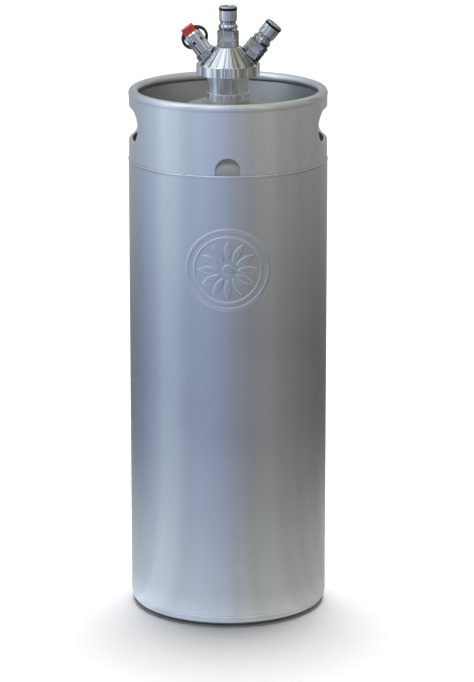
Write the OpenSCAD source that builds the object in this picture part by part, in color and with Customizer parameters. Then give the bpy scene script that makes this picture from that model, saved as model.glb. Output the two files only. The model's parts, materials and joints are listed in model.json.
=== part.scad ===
// Ball-lock beer keg: a slim stainless vessel closed by a screw-on tapping head.
// Millimetres, +Z up. The origin is the bottom centre and the front faces -Y.

/* [Vessel] */
// Outside diameter of the cylindrical body
body_d = 186; // [180:1:190]
// Thickness of the pressed stainless sheet
sheet_t = 1.0; // [0.8:0.1:1.2]
// Height of the shoulder, where the collar stands on the body
shoulder_z = 434; // [380:1:480]
// How far the rolled shoulder bead stands proud of the body wall
bead_proud = 0.4; // [0.2:0.1:0.6]
// Outer radius of the rounded bottom corner
corner_r = 11; // [8:0.5:13]
// Width of the flat ring that the keg stands on
foot_w = 4; // [3:0.5:6]
// Radius of the inward dish under the keg
base_dish_r = 222; // [200:1:260]

/* [Top dome] */
// Crown radius of the domed top
crown_r = 109; // [106:1:114]
// Knuckle radius between the dome and its skirt
knuckle_r = 16; // [12:1:18]

/* [Collar] */
// Height of the collar from the shoulder to the top of its rolled rim
collar_h = 65; // [60:1:80]
// Diameter of the rolled rim
rim_d = 9.2; // [8:0.2:10]
// Width of each hand hole, measured straight across
hand_w = 77.5; // [60:0.5:85]
// Height of each hand hole
hand_h = 30; // [24:1:34]
// Depth of the lip turned inward around a hand hole
hand_lip = 3.6; // [2:0.2:4]
// Width of the drain notch at the front
notch_w = 22.8; // [16:0.2:26]
// Height of the drain notch
notch_h = 15.8; // [12:0.2:18]
// Number of tack welds that hold the collar on the shoulder
tack_count = 7; // [5:1:9]

/* [Medallion] */
// Outside diameter of the embossed medallion
medal_d = 77; // [60:1:84]
// Height of its centre above the floor
medal_z = 346; // [300:1:350]
// Height of the embossing
medal_h = 0.6; // [0.4:0.1:0.8]
// Number of petals in its rosette
petal_count = 12; // [8:1:14]

/* [Neck] */
// Outside diameter of the plain neck
neck_d = 37.6; // [36:0.2:38]
// Height of the neck's sealing face above the floor
neck_top_z = 522.4; // [522:0.1:523]
// Outside diameter of the neck thread
thread_d = 44.4; // [43.8:0.1:44.6]
// Pitch of the neck thread
thread_pitch = 3; // [2.5:0.5:3]

/* [Tapping head] */
// Outside diameter of the head's skirt
head_d = 59.3; // [58:0.1:62]
// Height of the skirt's lower edge above the floor
head_z = 511.4; // [511:0.1:512]
// Height of the skirt
skirt_h = 10.4; // [9:0.2:11]
// Height of the cone above the skirt
cone_h = 16; // [15:0.2:18]
// Diameter of the flat top of the cone
cone_top_d = 24; // [23:0.5:26]
// Lean of the gas post from vertical
gas_tilt = 38.5; // [38:0.5:40]
// Distance of the gas post's foot from the keg's axis
gas_r = 20.2; // [19.8:0.1:20.4]
// Lean of the relief valve from vertical
prv_tilt = 36.5; // [35:0.5:38]
// Distance of the relief valve's foot from the keg's axis
prv_r = 19; // [18.8:0.1:19.6]

/* [Ball-lock posts] */
// Size of the post hexagon across its flats, 11/16 inch
post_af = 17.5; // [17.4:0.1:17.6]
// Diameter of the locking barrel
barrel_d = 16.9; // [16.7:0.1:17.1]
// Travel of a poppet when a disconnect opens it
poppet_travel = 3; // [2:0.5:3]

/* [Relief valve] */
// Outside diameter of the valve body
prv_d = 16.5; // [16:0.1:17]
// Diameter of the coloured cap
prv_cap_d = 13.6; // [13:0.1:14]
// Mean radius of the pull ring
ring_r = 11.4; // [11:0.1:12]
// Diameter of the pull ring's wire
ring_wire_d = 3; // [2.4:0.1:3]
// Angle at which the hanging ring leans against the valve body
ring_lean = 27; // [27:0.5:40]

/* [Hidden] */
$fn = 96;
eps = 0.01;

// Vessel
body_r = body_d / 2;
skirt_gap = 0.4;
skirt_r = body_r - sheet_t - skirt_gap;
bead_r = 1.6;
bead_z = shoulder_z - bead_r;
foot_r = body_r - corner_r - foot_w;
base_fold_r = 6;
base_fold_deg = asin(foot_r / (base_dish_r + base_fold_r));
base_dish_z = base_fold_r - (base_dish_r + base_fold_r) * cos(base_fold_deg);

// Top dome, whose crown is tangent to its knuckle
knuckle_z = shoulder_z + 1;
knuckle_x = skirt_r - knuckle_r;
crown_z = knuckle_z - sqrt(pow(crown_r - knuckle_r, 2) - pow(knuckle_x, 2));
crown_deg = atan2(knuckle_z - crown_z, knuckle_x);
dome_skirt_h = 14;
arc_steps = 12;

// Collar
collar_r = skirt_r + sheet_t;
rim_r = rim_d / 2;
rim_z = shoulder_z + collar_h - rim_r;
hand_z = shoulder_z + 33;
lip_t = 1.2;

// Neck
neck_r = neck_d / 2;
neck_bore_r = neck_r - 1.5;
neck_hole_z = crown_z + sqrt(pow(crown_r, 2) - pow(neck_r, 2));
thread_root_r = thread_d / 2 - 1.2;
thread_z = head_z;
runout_r = neck_r + 0.8;
runout_z = thread_z - 6;
ridge_turns = 2.8;
ridge_steps = 24;

// Tapping head
head_r = head_d / 2;
head_bore_r = thread_d / 2 + 0.8;
ceiling_z = neck_top_z + 1.7;
cone_z = head_z + skirt_h;
head_top_z = cone_z + cone_h;
gas_z = cone_z + 7.4;
prv_z = cone_z + 7.2;
centre_stub_h = 5;
side_stub_h = 2.6;

// A port and its post, measured along their axis from the port's foot
port_hex_h = 5.7;
port_stub_r = 7;
port_stub_top = 13;
tube_r = 3.97;
tube_bore_r = 3.2;
tube_clear_r = 4.15;
tube_ring_r = 0.9;
tube_flange_z = port_stub_top + 2 * tube_ring_r;
tube_flange_h = 1;
post_hex_top = 14.8;
flare_r = 9.1;
flare_z = 17.8;
flare_top = 20.6;
groove_r = 7.4;
groove_top = 23.2;
barrel_r = barrel_d / 2;
barrel_start = groove_top + 1.2;
barrel_top = 33.65;
post_ring_r = 1.25;
crown_start = barrel_top + 2 * post_ring_r;
post_top = 37.5;
crown_edge_r = post_top - crown_start;
post_ring_mean_r = barrel_r - post_ring_r + 0.15;
chamber_r = 5.6;
chamber_floor = 16;
chamber_top = 30;
mouth_r = 3.7;
poppet_r = 3.2;
poppet_flange_r = 5.1;
poppet_flange_z = chamber_top - poppet_travel;
poppet_flange_h = 1.3;
poppet_top = post_top - 0.9;
poppet_seal_r = 0.85;

// The relief valve, measured along its axis from its foot
prv_hex_af = 17;
prv_hex_h = 5.2;
prv_body_top = 26.6;
prv_body_r = prv_d / 2;
prv_bore_r = 6.6;
prv_seat_z = 10;
prv_seal_h = 2;
prv_disc_h = 1.3;
prv_roof_z = 22.6;
prv_stem_r = 2;
vent_count = 6;
vent_z = 17.2;
vent_r = 1.5;
vent_turn = -18;
prv_cap_z = 26.9;
prv_cap_h = 6.3;
prv_cap_r = prv_cap_d / 2;
ring_pivot_z = 30.2;
ring_eye_r = 1.95;
ring_clear = 0.25;

// Places

module on_liquid_axis() {
    translate([0, 0, head_top_z]) children();
}

module on_gas_axis() {
    translate([gas_r, 0, gas_z]) rotate([0, gas_tilt, 0]) children();
}

module on_prv_axis() {
    translate([-prv_r, 0, prv_z]) rotate([0, -prv_tilt, 0]) children();
}

// Plane shapes

module wedge(r, from_deg, to_deg) {
    middle = (from_deg + to_deg) / 2;
    polygon([[0, 0], [r * cos(from_deg), r * sin(from_deg)],
        [r * cos(middle), r * sin(middle)], [r * cos(to_deg), r * sin(to_deg)]]);
}

module arc_band(outer_r, thickness, from_deg, to_deg) {
    intersection() {
        difference() {
            circle(outer_r);
            circle(outer_r - thickness);
        }
        wedge(outer_r * 2, from_deg, to_deg);
    }
}

// A list without its first entry
function tail(list) = [for (i = [1:len(list) - 1]) list[i]];

// Evenly spaced points along an arc
function arc_points(x, y, r, from_deg, to_deg) = [for (i = [0:arc_steps])
    let (deg = from_deg + (to_deg - from_deg) * i / arc_steps)
        [x + r * cos(deg), y + r * sin(deg)]];

module box_2d(x0, x1, y0, y1) {
    translate([x0, y0]) square([x1 - x0, y1 - y0]);
}

// A slot with round ends, lying along X
module stadium(width, height) {
    for (side = [-1, 1]) translate([side * (width - height) / 2, 0]) circle(height / 2);
    square([width - height, height], center = true);
}

// Solids of revolution and small repeats

module tube(outer, inner, height) {
    difference() {
        cylinder(h = height, r = outer);
        translate([0, 0, -1]) cylinder(h = height + 2, r = inner);
    }
}

module torus(mean_r, wire_r) {
    rotate_extrude() translate([mean_r, 0]) circle(wire_r, $fn = 48);
}

module hexagon(across_flats, height, chamfer = 0.6) {
    corner = across_flats / 2 / cos(30);
    intersection() {
        cylinder(h = height, r = corner, $fn = 6);
        rotate_extrude() polygon([[0, 0], [corner - chamfer, 0], [corner + 0.1, chamfer],
            [corner + 0.1, height - chamfer], [corner - chamfer, height], [0, height]]);
    }
}

// Faces of a strip of rings with `sides` points each, closed at both ends
function strip_faces(rings, sides) = concat(
    [[for (k = [sides - 1:-1:0]) k]],
    [for (i = [0:rings - 2], k = [0:sides - 1])
        [i * sides + k, i * sides + (k + 1) % sides, (i + 1) * sides + (k + 1) % sides,
        (i + 1) * sides + k]],
    [[for (k = [0:sides - 1]) (rings - 1) * sides + k]]);

// The four corners of the thread ridge at one angle round the neck
function ridge_ring(deg, z) = [for (p = [[thread_root_r - 0.4, -1.1], [thread_d / 2, -0.35],
    [thread_d / 2, 0.35], [thread_root_r - 0.4, 1.1]])
        [p[0] * cos(deg), p[0] * sin(deg), z + p[1]]];

module thread_ridge() {
    steps = ridge_turns * ridge_steps;
    points = [for (i = [0:steps]) each
        ridge_ring(i * 360 / ridge_steps, i * thread_pitch / ridge_steps)];
    polyhedron(points, strip_faces(len(points) / 4, 4));
}

// The section of a spring wire at one angle round the coil
function wire_ring(mean_r, wire_r, deg, z, sides) = [for (k = [0:sides - 1])
    let (reach = mean_r + wire_r * cos(k * 360 / sides))
        [reach * cos(deg), reach * sin(deg), z + wire_r * sin(k * 360 / sides)]];

module coil_spring(mean_r, wire_r, height, turns) {
    sides = 6;
    steps_per_turn = 14;
    steps = turns * steps_per_turn;
    rise = (height - 2 * wire_r) / steps;
    points = [for (i = [0:steps]) each
        wire_ring(mean_r, wire_r, i * 360 / steps_per_turn, wire_r + i * rise, sides)];
    polyhedron(points, strip_faces(steps + 1, sides));
}

// Vessel

module medal_outline() {
    outer = medal_d / 2;
    petal_r = 15;
    petal_half_w = 3;
    difference() {
        circle(outer);
        circle(outer - 2.4);
    }
    difference() {
        circle(outer - 7);
        circle(outer - 8.4);
    }
    circle(5);
    for (i = [0:petal_count - 1]) rotate(i * 360 / petal_count) translate([0, 18]) intersection() {
        translate([petal_r - petal_half_w, 0]) circle(petal_r);
        translate([petal_half_w - petal_r, 0]) circle(petal_r);
    }
}

module medallion() {
    intersection() {
        translate([0, 0, medal_z - medal_d]) tube(body_r + medal_h, body_r - 0.5, 2 * medal_d);
        translate([0, 0, medal_z]) rotate([90, 0, 0]) linear_extrude(body_r + 5) medal_outline();
    }
}

module body_shell() {
    color("lightsteelblue") {
        rotate_extrude() {
            polygon([[body_r - sheet_t, corner_r], [body_r - 0.3, corner_r],
                [body_r, corner_r + 0.3], [body_r, bead_z], [body_r - sheet_t, bead_z]]);
            intersection() {
                translate([body_r + bead_proud - bead_r, bead_z]) circle(bead_r);
                box_2d(skirt_r, body_r + bead_r, bead_z - bead_r, bead_z + bead_r);
            }
        }
        medallion();
    }
}

module bottom_end() {
    color("lightsteelblue") rotate_extrude() {
        translate([body_r - corner_r, corner_r]) arc_band(corner_r, sheet_t, -90, 0);
        box_2d(foot_r - eps, body_r - corner_r + eps, 0, sheet_t);
        translate([foot_r, base_fold_r])
            arc_band(base_fold_r, sheet_t, -90 - base_fold_deg, -90);
        translate([0, base_dish_z])
            arc_band(base_dish_r + sheet_t, sheet_t, 90 - base_fold_deg, 90);
    }
}

// The dome's outline from the neck hole down to the end of its skirt, moved in by `inset`
function dome_side(inset) = concat(
    arc_points(0, crown_z, crown_r - inset, acos(neck_r / (crown_r - inset)), crown_deg),
    tail(arc_points(knuckle_x, knuckle_z, knuckle_r - inset, crown_deg, 0)),
    [[skirt_r - inset, knuckle_z - dome_skirt_h]]);

module top_dome() {
    inside = dome_side(sheet_t);
    color("slategray") rotate_extrude()
        polygon(concat(dome_side(0), [for (i = [len(inside) - 1:-1:0]) inside[i]]));
}

// The hand hole's outline, standing in the XZ plane and run out along +X
module hand_hole(margin) {
    translate([0, 0, hand_z]) rotate([90, 0, 90]) linear_extrude(body_r + 5)
        stadium(hand_w + 2 * margin, hand_h + 2 * margin);
}

module collar_wall() {
    rotate_extrude() {
        box_2d(collar_r - sheet_t, collar_r, shoulder_z, rim_z);
        difference() {
            translate([body_r - rim_r, rim_z]) circle(rim_r);
            translate([body_r - rim_r, rim_z]) circle(rim_r - sheet_t);
            box_2d(body_r - rim_r, collar_r - sheet_t, rim_z - rim_r, rim_z);
        }
    }
}

module hand_hole_lip() {
    intersection() {
        difference() {
            hand_hole(lip_t);
            hand_hole(0);
        }
        translate([0, 0, hand_z - hand_h]) tube(collar_r, collar_r - hand_lip, 2 * hand_h);
    }
}

module drain_notch() {
    translate([0, 0, shoulder_z + notch_h - notch_w / 2]) rotate([90, 0, 0])
        linear_extrude(body_r + 5) {
            circle(notch_w / 2);
            box_2d(-notch_w / 2, notch_w / 2, -notch_h, 0);
        }
}

module top_collar() {
    color("silver") {
        difference() {
            collar_wall();
            for (turn = [0, 180]) rotate([0, 0, turn]) hand_hole(lip_t);
            drain_notch();
        }
        for (turn = [0, 180]) rotate([0, 0, turn]) hand_hole_lip();
    }
}

// Short fillets between the collar and the shoulder, clear of the notch
module collar_tacks() {
    step = 360 / tack_count;
    color("gainsboro") intersection() {
        translate([0, 0, shoulder_z - 0.2]) tube(collar_r + 0.6, collar_r, 5);
        for (i = [0:tack_count - 1]) rotate([0, 0, -90 + (i + 0.5) * step])
            translate([collar_r - 3, 0, shoulder_z - 0.2]) rotate([0, 90, 0])
                cylinder(h = 6, r = 2.2);
    }
}

module neck() {
    color("gainsboro") {
        rotate_extrude() polygon([[neck_bore_r, neck_hole_z - 4], [neck_r, neck_hole_z - 4],
            [neck_r, runout_z], [runout_r, runout_z + 0.3], [runout_r, thread_z],
            [thread_root_r - 0.5, thread_z], [thread_root_r, thread_z + 0.5],
            [thread_root_r, neck_top_z - 0.6], [thread_root_r - 0.6, neck_top_z],
            [neck_bore_r, neck_top_z]]);
        translate([0, 0, thread_z + 0.9]) thread_ridge();
    }
}

module neck_weld_ring() {
    ring_top = neck_hole_z + 6.6;
    color("gainsboro") rotate_extrude() polygon([[neck_r, neck_hole_z + 0.02],
        [neck_r + 0.8, neck_hole_z + 0.02], [neck_r + 0.8, ring_top - 0.4],
        [neck_r + 0.4, ring_top], [neck_r, ring_top]]);
}

// Tapping head

// What is cut from the head for a side port: a spot face, its socket and a gas way
module side_port_cut(face_r, way_r) {
    cylinder(h = 20, r = face_r);
    translate([0, 0, -side_stub_h]) cylinder(h = side_stub_h + 1, r = 4.6);
    translate([0, 0, -side_stub_h - 12]) cylinder(h = 13, r = way_r);
}

module tapping_head() {
    color("silver") difference() {
        rotate_extrude() polygon([[0, ceiling_z], [head_bore_r, ceiling_z],
            [head_bore_r, head_z + 0.8], [head_bore_r + 0.8, head_z], [head_r - 0.7, head_z],
            [head_r, head_z + 0.7], [head_r, cone_z - 0.5], [head_r - 0.5, cone_z],
            [cone_top_d / 2 + 0.4, head_top_z - 0.4], [cone_top_d / 2 - 0.3, head_top_z],
            [0, head_top_z]]);
        translate([0, 0, ceiling_z - 1]) cylinder(h = 30, r = tube_clear_r);
        translate([0, 0, head_top_z - centre_stub_h]) cylinder(h = 30, r = 5);
        on_gas_axis() side_port_cut(10.8, 2.2);
        on_prv_axis() side_port_cut(10.4, 1.7);
    }
}

module neck_seal() {
    color("dimgray") translate([0, 0, neck_top_z])
        tube(thread_d / 2 + 0.4, neck_bore_r + 1.3, ceiling_z - neck_top_z);
}

module port(stub_r, stub_h) {
    difference() {
        union() {
            translate([0, 0, -stub_h]) cylinder(h = stub_h + 1, r = stub_r);
            hexagon(post_af, port_hex_h);
            cylinder(h = port_stub_top, r = port_stub_r);
        }
        translate([0, 0, -stub_h - 1]) cylinder(h = 40, r = tube_clear_r);
    }
}

module liquid_port() {
    color("gainsboro") on_liquid_axis() port(5, centre_stub_h);
}

module gas_port() {
    color("gainsboro") on_gas_axis() port(4.6, side_stub_h);
}

module prv_port() {
    color("gray") on_prv_axis() difference() {
        union() {
            translate([0, 0, -side_stub_h]) cylinder(h = side_stub_h + 1, r = 4.6);
            hexagon(prv_hex_af, prv_hex_h);
            cylinder(h = prv_seat_z, r = prv_bore_r);
        }
        translate([0, 0, -side_stub_h - 1]) cylinder(h = 30, r = 2.6);
    }
}

// Right half of the post's turned section above its hexagon, with its bore
module post_section() {
    difference() {
        union() {
            polygon([[0, port_hex_h], [8.2, port_hex_h], [8.2, post_hex_top],
                [flare_r - 0.7, post_hex_top + 0.4], [flare_r, flare_z],
                [flare_r, flare_z + 1.2], [groove_r + 0.5, flare_top],
                [groove_r, flare_top + 0.5], [groove_r, groove_top],
                [barrel_r, barrel_start], [barrel_r, crown_start], [0, crown_start]]);
            translate([barrel_r - crown_edge_r, crown_start]) circle(crown_edge_r);
            box_2d(0, barrel_r - crown_edge_r, crown_start - 1, post_top);
        }
        translate([post_ring_mean_r, barrel_top + post_ring_r]) circle(post_ring_r);
        box_2d(post_ring_mean_r, barrel_r + 1, barrel_top + 0.1, crown_start - 0.1);
        polygon([[-1, port_hex_h - 1], [port_stub_r, port_hex_h - 1],
            [port_stub_r, chamber_floor], [chamber_r, chamber_floor], [chamber_r, chamber_top],
            [mouth_r, chamber_top + 1.5], [mouth_r, post_top - 0.6], [mouth_r + 0.6, post_top],
            [mouth_r + 0.6, post_top + 1], [-1, post_top + 1]]);
        box_2d(-10, 0, 0, post_top + 2);
    }
}

module post_hexagon() {
    difference() {
        translate([0, 0, port_hex_h]) hexagon(post_af, post_hex_top - port_hex_h);
        translate([0, 0, port_hex_h - 1]) cylinder(h = 20, r = port_stub_r + 0.5);
    }
}

module post() {
    rotate_extrude() post_section();
    post_hexagon();
}

module liquid_post() {
    color("silver") on_liquid_axis() post();
}

// A gas post is told apart by the notches in the corners of its hexagon
module gas_post() {
    notch_z = (port_hex_h + post_hex_top) / 2;
    color("silver") on_gas_axis() difference() {
        post();
        rotate_extrude() polygon([[post_af / 2 + 0.3, notch_z],
            [post_af, notch_z - 5.5], [post_af, notch_z + 5.5]]);
    }
}

module post_o_ring() {
    translate([0, 0, barrel_top + post_ring_r]) torus(post_ring_mean_r, post_ring_r);
}

module liquid_post_o_ring() {
    color("black") on_liquid_axis() post_o_ring();
}

module gas_post_o_ring() {
    color("black") on_gas_axis() post_o_ring();
}

// A poppet: a pin through the post's mouth, a flange and a groove for its seal
module poppet() {
    seal_z = poppet_flange_z + poppet_flange_h + poppet_seal_r;
    difference() {
        union() {
            translate([0, 0, poppet_flange_z]) cylinder(h = poppet_flange_h, r = poppet_flange_r);
            translate([0, 0, poppet_flange_z - 4]) cylinder(h = 5, r = 2.6);
            translate([0, 0, poppet_flange_z])
                cylinder(h = poppet_top - poppet_flange_z - 0.5, r = poppet_r);
            translate([0, 0, poppet_top - 0.5])
                cylinder(h = 0.5, r1 = poppet_r, r2 = poppet_r - 0.5);
        }
        translate([0, 0, poppet_top - 1]) cylinder(h = 2, r = 1.2);
        translate([0, 0, seal_z]) torus(poppet_r + poppet_seal_r - 0.3, poppet_seal_r);
    }
}

module poppet_seal() {
    translate([0, 0, poppet_flange_z + poppet_flange_h + poppet_seal_r])
        torus(poppet_r + poppet_seal_r - 0.3, poppet_seal_r);
}

module poppet_spring() {
    floor_z = tube_flange_z + tube_flange_h;
    translate([0, 0, floor_z]) coil_spring(4.2, 0.45, poppet_flange_z - floor_z, 6);
}

module liquid_poppet() {
    color("lightgray") on_liquid_axis() poppet();
}

module gas_poppet() {
    color("lightgray") on_gas_axis() poppet();
}

module liquid_poppet_seal() {
    color("black") on_liquid_axis() poppet_seal();
}

module gas_poppet_seal() {
    color("black") on_gas_axis() poppet_seal();
}

module liquid_poppet_spring() {
    color("gray") on_liquid_axis() poppet_spring();
}

module gas_poppet_spring() {
    color("gray") on_gas_axis() poppet_spring();
}

// A dip tube hangs by its flange from an O-ring on top of the port
module dip_tube(end_z) {
    difference() {
        union() {
            translate([0, 0, end_z]) cylinder(h = tube_flange_z - end_z + 0.5, r = tube_r);
            translate([0, 0, tube_flange_z]) cylinder(h = tube_flange_h, r = 5.9);
        }
        translate([0, 0, end_z - 1]) cylinder(h = tube_flange_z - end_z + 10, r = tube_bore_r);
    }
}

module tube_o_ring() {
    translate([0, 0, port_stub_top + tube_ring_r]) torus(tube_r + tube_ring_r + 0.05, tube_ring_r);
}

module liquid_dip_tube() {
    tube_end_z = 20;
    color("gainsboro") on_liquid_axis() dip_tube(tube_end_z - head_top_z);
}

module gas_dip_tube() {
    color("gainsboro") on_gas_axis() dip_tube(-side_stub_h);
}

module liquid_tube_o_ring() {
    color("black") on_liquid_axis() tube_o_ring();
}

module gas_tube_o_ring() {
    color("black") on_gas_axis() tube_o_ring();
}

// Relief valve

module prv_body() {
    color("silver") on_prv_axis() difference() {
        rotate_extrude() polygon([[0, prv_hex_h], [prv_body_r - 0.5, prv_hex_h],
            [prv_body_r, prv_hex_h + 0.5], [prv_body_r, prv_body_top - 1.6],
            [prv_body_r - 1.6, prv_body_top], [0, prv_body_top]]);
        translate([0, 0, prv_hex_h - 1]) cylinder(h = prv_roof_z - prv_hex_h + 1, r = prv_bore_r);
        translate([0, 0, prv_roof_z - 1]) cylinder(h = 10, r = prv_stem_r + 0.08);
        for (i = [0:vent_count - 1]) rotate([0, 0, -90 + vent_turn + i * 360 / vent_count])
            translate([prv_bore_r - 2, 0, vent_z]) rotate([0, 90, 0]) cylinder(h = 6, r = vent_r);
    }
}

module prv_stem() {
    disc_z = prv_seat_z + prv_seal_h;
    color("gainsboro") on_prv_axis() {
        translate([0, 0, disc_z]) cylinder(h = prv_disc_h, r = 5.8);
        translate([0, 0, disc_z])
            cylinder(h = ring_pivot_z - ring_eye_r - 0.05 - disc_z, r = prv_stem_r);
    }
}

module prv_seal() {
    color("black") on_prv_axis() translate([0, 0, prv_seat_z]) cylinder(h = prv_seal_h, r = 5.5);
}

module prv_spring() {
    foot = prv_seat_z + prv_seal_h + prv_disc_h;
    color("gray") on_prv_axis() translate([0, 0, foot])
        coil_spring(4.3, 0.55, prv_roof_z - foot, 5);
}

// The hole for the ring flares towards both ends, so the curved wire can swing in it
module ring_eye() {
    sag = ring_r - sqrt(pow(ring_r, 2) - pow(prv_cap_r, 2));
    flare = sag + ring_wire_d / 2 + ring_clear;
    translate([0, 0, ring_pivot_z]) for (side = [-90, 90]) rotate([0, side, 0]) {
        cylinder(h = 2.5, r = ring_eye_r);
        translate([0, 0, 2]) cylinder(h = prv_cap_r - 2, r1 = ring_eye_r, r2 = flare);
    }
}

module prv_cap() {
    top = prv_cap_z + prv_cap_h;
    color("red") on_prv_axis() difference() {
        rotate_extrude() polygon([[0, prv_cap_z], [prv_cap_r - 0.4, prv_cap_z],
            [prv_cap_r, prv_cap_z + 0.4], [prv_cap_r, top - 0.8], [prv_cap_r - 0.8, top],
            [0, top]]);
        translate([0, 0, prv_cap_z - 1]) cylinder(h = ring_pivot_z - prv_cap_z + 1, r = prv_stem_r);
        ring_eye();
    }
}

module pull_ring() {
    color("darkslategray") on_prv_axis() translate([0, 0, ring_pivot_z])
        rotate([ring_lean - 90, 0, 0]) translate([0, ring_r, 0]) torus(ring_r, ring_wire_d / 2);
}

body_shell();
bottom_end();
top_dome();
top_collar();
collar_tacks();
neck();
neck_weld_ring();
tapping_head();
neck_seal();
liquid_port();
gas_port();
prv_port();
liquid_post();
gas_post();
liquid_post_o_ring();
gas_post_o_ring();
liquid_poppet();
gas_poppet();
liquid_poppet_seal();
gas_poppet_seal();
liquid_poppet_spring();
gas_poppet_spring();
liquid_dip_tube();
gas_dip_tube();
liquid_tube_o_ring();
gas_tube_o_ring();
prv_body();
prv_stem();
prv_seal();
prv_spring();
prv_cap();
pull_ring();
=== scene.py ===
"""A ball-lock beer keg: finished meshes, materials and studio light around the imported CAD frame.

Metres, +Z up, and the front faces -Y. Positions come from the CAD nodes' boxes and the record, and
the sizes that those don't give are named here.
"""

import json
import math

import bmesh
import bpy
from mathutils import Matrix, Vector


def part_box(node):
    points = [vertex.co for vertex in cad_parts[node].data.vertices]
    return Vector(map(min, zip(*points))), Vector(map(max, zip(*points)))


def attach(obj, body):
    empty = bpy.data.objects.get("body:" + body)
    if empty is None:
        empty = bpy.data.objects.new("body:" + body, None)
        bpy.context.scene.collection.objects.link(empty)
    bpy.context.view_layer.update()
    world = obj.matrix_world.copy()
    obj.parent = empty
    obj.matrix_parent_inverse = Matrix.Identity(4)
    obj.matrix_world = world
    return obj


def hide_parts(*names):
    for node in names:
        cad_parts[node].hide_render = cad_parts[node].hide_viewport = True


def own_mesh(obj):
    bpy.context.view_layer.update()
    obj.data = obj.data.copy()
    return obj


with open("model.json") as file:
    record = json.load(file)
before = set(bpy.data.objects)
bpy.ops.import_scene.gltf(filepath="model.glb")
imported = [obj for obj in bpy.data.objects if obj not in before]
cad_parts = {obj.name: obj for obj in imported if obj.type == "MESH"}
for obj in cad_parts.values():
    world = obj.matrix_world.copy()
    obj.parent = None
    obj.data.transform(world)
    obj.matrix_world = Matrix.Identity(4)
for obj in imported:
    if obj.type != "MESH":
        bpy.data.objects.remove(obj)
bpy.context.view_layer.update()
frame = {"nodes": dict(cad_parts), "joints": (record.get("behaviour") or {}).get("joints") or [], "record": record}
JOINTS = {joint["name"]: joint for joint in frame["joints"]}
MOUNTS = {mount["name"]: mount for mount in frame["record"]["mounts"]}

MM = 0.001
TAU = 2 * math.pi

# Shell, bottom and dome; SKIRT_IN is how far inside the shell the dome's skirt lies
SHEET = 1.0 * MM
SHELL_EDGE = 0.3 * MM
BEAD_PROUD = 0.4 * MM
BEAD_R = 1.6 * MM
CORNER_R = 11 * MM
FOOT_W = 4 * MM
FOLD_R = 6 * MM
BASE_DISH_R = 222 * MM
CROWN_R = 109 * MM
KNUCKLE_R = 16 * MM
KNUCKLE_UP = 1 * MM
DOME_SKIRT = 14 * MM
SKIRT_IN = 1.4 * MM

# The embossed rosette: two rings and a hub, given by radius and half width, and lens-shaped petals
MEDAL_Z = 346 * MM
MEDAL_H = 0.6 * MM
MEDAL_R = 38.5 * MM
MEDAL_EDGE = 1.0 * MM
MEDAL_RINGS = ((37.3 * MM, 1.2 * MM), (30.8 * MM, 0.7 * MM), (0.0, 5 * MM))
PETALS = 12
PETAL_MIDDLE = 18 * MM
PETAL_SIDE_R = 15 * MM
PETAL_SIDE_OFF = 12 * MM

# Collar
RIM_R = 4.6 * MM
HAND_W = 77.5 * MM
HAND_H = 30 * MM
HAND_UP = 33 * MM
NOTCH_W = 22.8 * MM
NOTCH_H = 15.8 * MM

# Neck and its thread
NECK_BORE_R = 17.3 * MM
NECK_R = 18.8 * MM
RUNOUT_R = 19.6 * MM
RUNOUT_DROP = 6 * MM
RUNOUT_SLOPE = 0.3 * MM
THREAD_ROOT_R = 21.0 * MM
THREAD_PITCH = 3 * MM
THREAD_TURNS = 2.8
THREAD_UP = 0.9 * MM

# Fittings on the head: how far up their axes the gas post's mount and the ring's hinge lie
GAS_MOUNT_UP = 29 * MM
RING_PIVOT_UP = 30.2 * MM

# Heights and radii from the frame
BODY_LOW, BODY_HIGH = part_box("body_shell")
COLLAR_LOW, COLLAR_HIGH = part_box("top_collar")
NECK_LOW, NECK_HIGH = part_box("neck")
HEAD_LOW, HEAD_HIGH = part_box("tapping_head")
BODY_R = BODY_HIGH.x - BEAD_PROUD
SHOULDER_Z = COLLAR_LOW.z
RIM_TOP_Z = COLLAR_HIGH.z
SKIRT_R = BODY_R - SKIRT_IN
COLLAR_R = SKIRT_R + SHEET
HAND_Z = SHOULDER_Z + HAND_UP
KNUCKLE_Z = SHOULDER_Z + KNUCKLE_UP
KNUCKLE_X = SKIRT_R - KNUCKLE_R
CROWN_Z = KNUCKLE_Z - math.sqrt((CROWN_R - KNUCKLE_R) ** 2 - KNUCKLE_X**2)


# ---------------------------------------------------------------- meshes

# Edges sharper than SHARP_DEG stay crisp, points closer than MERGE are joined, and shorter edges
# than SLIVER are dissolved
SHARP_DEG = 38
MERGE = 1e-7
SLIVER = 1e-8


def link(data, name):
    """A new object of that mesh, light or camera in the scene."""
    thing = bpy.data.objects.new(name, data)
    bpy.context.scene.collection.objects.link(thing)
    return thing


def piece(name, shape, body, slot, node, place=None):
    """A finished piece of (vertices, faces) that rides on a body and stands for a CAD node."""
    verts, faces = shape
    mesh = bpy.data.meshes.new(name)
    mesh.from_pydata([tuple(v) for v in verts], [], faces)
    clean = bmesh.new()
    clean.from_mesh(mesh)
    bmesh.ops.remove_doubles(clean, verts=clean.verts, dist=MERGE)
    bmesh.ops.dissolve_degenerate(clean, edges=clean.edges, dist=SLIVER)
    bmesh.ops.recalc_face_normals(clean, faces=clean.faces)
    clean.to_mesh(mesh)
    clean.free()
    mesh.shade_smooth()
    mesh.set_sharp_from_angle(angle=math.radians(SHARP_DEG))
    thing = link(mesh, name)
    if place is not None:
        thing.matrix_world = place
    mesh.materials.append(MATERIALS[slot])
    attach(thing, body)
    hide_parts(node)
    return thing


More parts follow.
